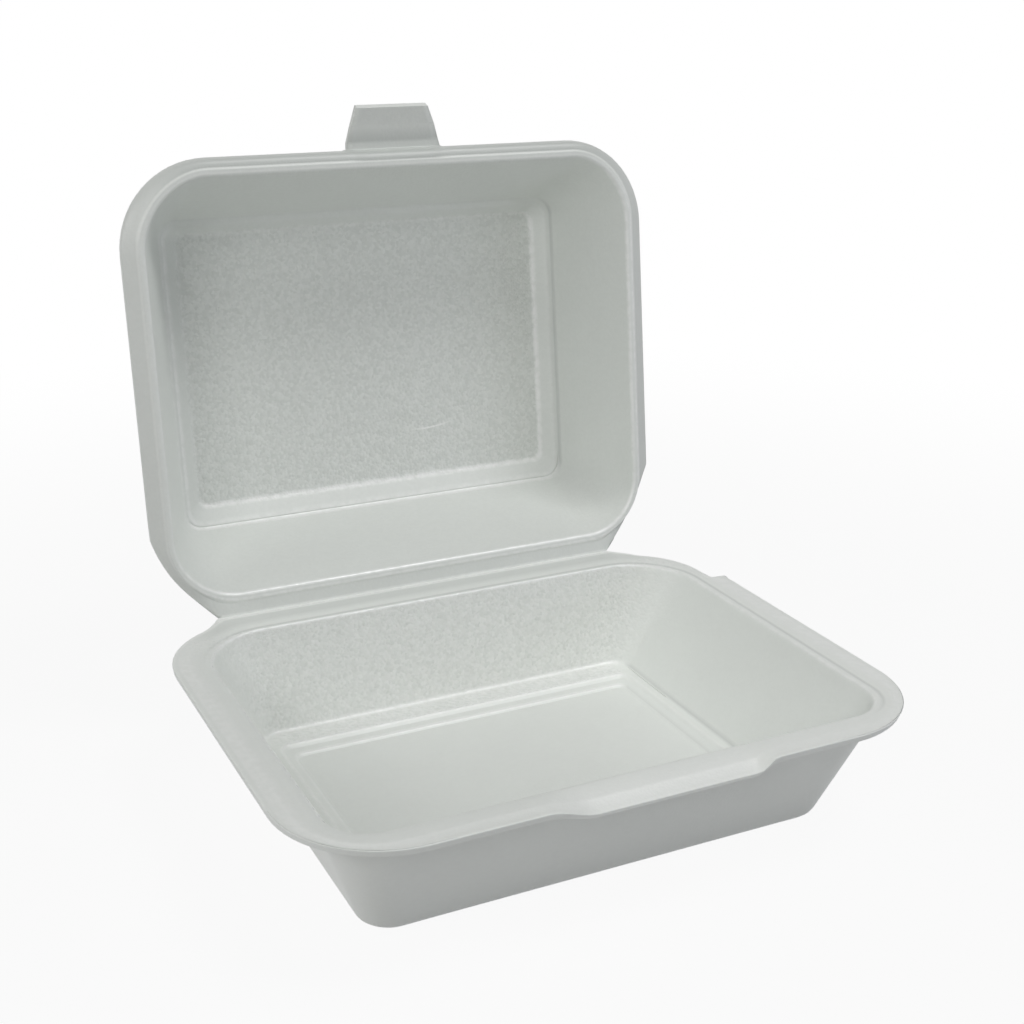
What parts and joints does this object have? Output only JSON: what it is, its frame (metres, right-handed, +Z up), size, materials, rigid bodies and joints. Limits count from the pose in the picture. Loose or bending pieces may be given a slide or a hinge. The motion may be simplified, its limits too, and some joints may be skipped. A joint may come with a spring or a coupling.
{
  "type": "clamshell food container",
  "caption": "White foam clamshell container with a stepped tray, a hinged lid with a closing tab, and a thumb notch in the front rim.",
  "frame": {"origin": "under the middle of the tray's rim outline, on the plane that the tray stands on", "axes": "+X along the hinge crease, to the right as seen from the front rim; +Y from the front rim to the hinge; +Z up"},
  "size_m": [0.191, 0.2101, 0.1956],
  "materials": {
    "foam": "matte"
  },
  "bodies": {
    "tray": {"tray": "foam"},
    "lid": {"lid": "foam"}
  },
  "joints": [
    {"name": "lid_hinge", "type": "hinge", "parent": "tray", "child": "lid", "pos_m": [0, 0.0781, 0.0392], "axis": [-1, 0, 0], "range_deg": [-97.35, 74]}
  ]
}
